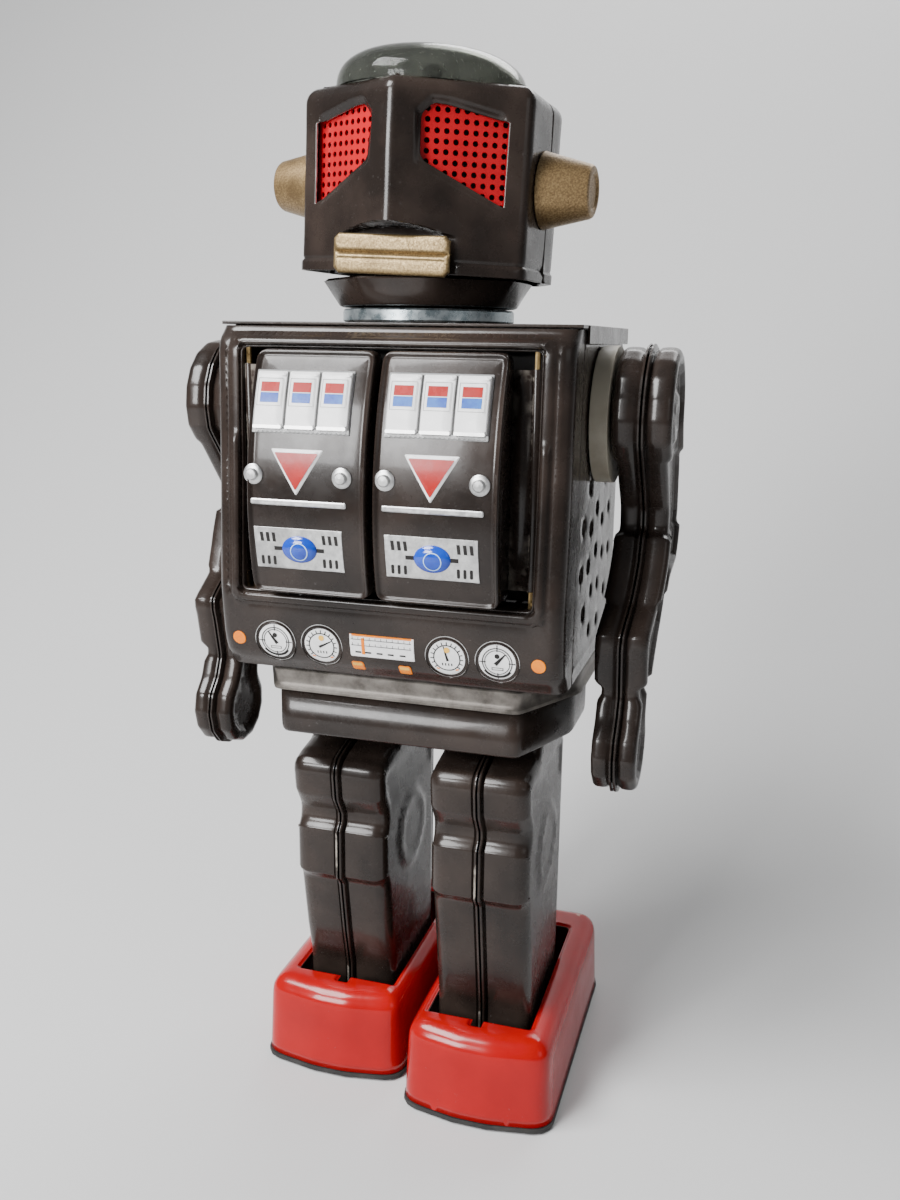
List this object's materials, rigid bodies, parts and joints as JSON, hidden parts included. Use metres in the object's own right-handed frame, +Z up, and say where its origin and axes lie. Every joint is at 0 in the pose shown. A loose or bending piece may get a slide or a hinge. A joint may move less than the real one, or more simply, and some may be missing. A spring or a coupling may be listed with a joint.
{
  "type": "toy robot",
  "caption": "Walking tin toy robot with hinged chest doors, swinging arms, sliding legs on sole rollers and a clear lamp dome.",
  "frame": {"origin": "centre of the robot's outline, on the surface that its rollers stand on", "axes": "+Z up; the robot faces -Y, so its left side is at +X"},
  "size_m": [0.1344, 0.1104, 0.2888],
  "materials": {
    "black_tin": "gloss brown-black lacquer",
    "inner_tin": "satin black lacquer",
    "red_tin": "bright gloss red enamel",
    "screen_red": "red painted perforated sheet",
    "gold_tin": "dull gold lacquer",
    "clear_plastic": "clear, slightly smoky",
    "bulb_glass": "clear",
    "brass": "plain",
    "zinc_ring": "dull zinc plating",
    "worn_steel": "worn bare tinplate",
    "steel": "plain",
    "ivory_plastic": "aged ivory",
    "red_plastic": "moulded red",
    "gear_plastic": "natural",
    "battery_case": "plain blue jacket",
    "black_sole": "matt black",
    "roller_rubber": "matt black"
  },
  "bodies": {
    "torso": {"head_face_shell": "black_tin", "head_rear_shell": "black_tin", "eye_screen_left": "screen_red", "eye_screen_right": "screen_red", "mouth_plate": "gold_tin", "ear_left": "gold_tin", "ear_right": "gold_tin", "head_chin": "black_tin", "dome_lens": "clear_plastic", "lamp_socket": "brass", "lamp_bulb": "bulb_glass", "neck_ring": "zinc_ring", "torso_top_plate": "black_tin", "torso_front_panel": "black_tin", "torso_rear_shell": "black_tin", "waist_plate": "worn_steel", "hip_skirt": "black_tin", "door_hinge_rod_left": "brass", "door_hinge_rod_right": "brass", "gun_bulkhead": "inner_tin", "shoulder_washer_left": "ivory_plastic", "shoulder_washer_right": "ivory_plastic", "leg_guide_rod_left": "steel", "leg_guide_rod_right": "steel", "motor": "steel", "gearbox_plate_left": "steel", "gearbox_plate_right": "steel"},
    "switch": {"switch_lever": "ivory_plastic"},
    "door_left": {"door_left": "black_tin"},
    "door_right": {"door_right": "black_tin"},
    "guns": {"gun_carriage": "steel", "gun_barrel_left": "red_plastic", "gun_barrel_right": "red_plastic"},
    "arm_left": {"arm_outer_left": "black_tin", "arm_inner_left": "black_tin", "shoulder_axle_left": "steel"},
    "arm_right": {"arm_outer_right": "black_tin", "arm_inner_right": "black_tin", "shoulder_axle_right": "steel"},
    "leg_left": {"leg_inner_left": "black_tin", "leg_outer_left": "black_tin", "battery_left": "battery_case", "shoe_left": "red_tin", "sole_left": "black_sole"},
    "leg_right": {"leg_inner_right": "black_tin", "leg_outer_right": "black_tin", "battery_right": "battery_case", "shoe_right": "red_tin", "sole_right": "black_sole"},
    "cover_left": {"battery_cover_left": "black_tin"},
    "cover_right": {"battery_cover_right": "black_tin"},
    "roller_front_left": {"roller_front_left": "roller_rubber"},
    "roller_rear_left": {"roller_rear_left": "roller_rubber"},
    "roller_front_right": {"roller_front_right": "roller_rubber"},
    "roller_rear_right": {"roller_rear_right": "roller_rubber"},
    "crank": {"drive_gear": "gear_plastic", "crankshaft": "steel"},
    "idler": {"idler_gear": "gear_plastic"},
    "pinion": {"motor_pinion": "brass"}
  },
  "joints": [
    {"name": "door_left_swing", "type": "hinge", "parent": "torso", "child": "door_left", "pos_m": [0.037, -0.04035, 0.183], "axis": [0, 0, 1], "range_deg": [0, 78]},
    {"name": "door_right_swing", "type": "hinge", "parent": "torso", "child": "door_right", "pos_m": [-0.037, -0.04035, 0.183], "axis": [0, 0, 1], "range_deg": [-78, 0]},
    {"name": "gun_advance", "type": "slide", "parent": "torso", "child": "guns", "axis": [0, -1, 0], "range_m": [0, 0.006]},
    {"name": "arm_left_swing", "type": "hinge", "parent": "torso", "child": "arm_left", "pos_m": [0.0592, -0.00535, 0.1979], "axis": [-1, 0, 0], "range_deg": [-45, 90]},
    {"name": "arm_right_swing", "type": "hinge", "parent": "torso", "child": "arm_right", "pos_m": [-0.0592, -0.00535, 0.1979], "axis": [-1, 0, 0], "range_deg": [-45, 90]},
    {"name": "leg_left_stride", "type": "slide", "parent": "torso", "child": "leg_left", "axis": [0, -1, 0], "range_m": [-0.0125, 0.0035]},
    {"name": "leg_right_stride", "type": "slide", "parent": "torso", "child": "leg_right", "axis": [0, -1, 0], "range_m": [-0.0035, 0.0125]},
    {"name": "cover_left_slide", "type": "slide", "parent": "leg_left", "child": "cover_left", "axis": [0, 0, 1], "range_m": [0, 0.01]},
    {"name": "cover_right_slide", "type": "slide", "parent": "leg_right", "child": "cover_right", "axis": [0, 0, 1], "range_m": [0, 0.01]},
    {"name": "roller_front_left_turn", "type": "hinge", "parent": "leg_left", "child": "roller_front_left", "pos_m": [0.0223, -0.03055, 0.005], "axis": [1, 0, 0], "continuous": true},
    {"name": "roller_rear_left_turn", "type": "hinge", "parent": "leg_left", "child": "roller_rear_left", "pos_m": [0.0223, 0.03295, 0.005], "axis": [1, 0, 0], "continuous": true},
    {"name": "roller_front_right_turn", "type": "hinge", "parent": "leg_right", "child": "roller_front_right", "pos_m": [-0.0223, -0.02155, 0.005], "axis": [1, 0, 0], "continuous": true},
    {"name": "roller_rear_right_turn", "type": "hinge", "parent": "leg_right", "child": "roller_rear_right", "pos_m": [-0.0223, 0.04195, 0.005], "axis": [1, 0, 0], "continuous": true},
    {"name": "drive_spin", "type": "hinge", "parent": "torso", "child": "crank", "pos_m": [0, -0.00255, 0.1485], "axis": [1, 0, 0], "continuous": true},
    {"name": "idler_spin", "type": "hinge", "parent": "torso", "child": "idler", "pos_m": [0, 0.00965, 0.1692], "axis": [1, 0, 0], "continuous": true},
    {"name": "pinion_spin", "type": "hinge", "parent": "torso", "child": "pinion", "pos_m": [0, -0.00315, 0.1748], "axis": [1, 0, 0], "continuous": true},
    {"name": "switch_slide", "type": "slide", "parent": "torso", "child": "switch", "axis": [1, 0, 0], "range_m": [0, 0.008]}
  ],
  "couplings": [
    {"joint": "door_right_swing", "follows": "door_left_swing", "ratio": -1},
    {"joint": "gun_advance", "follows": "door_left_swing", "m_per_rad": 0.0044},
    {"joint": "leg_right_stride", "follows": "leg_left_stride", "ratio": -1},
    {"joint": "idler_spin", "follows": "drive_spin", "ratio": -1.4},
    {"joint": "pinion_spin", "follows": "drive_spin", "ratio": 3.5}
  ]
}
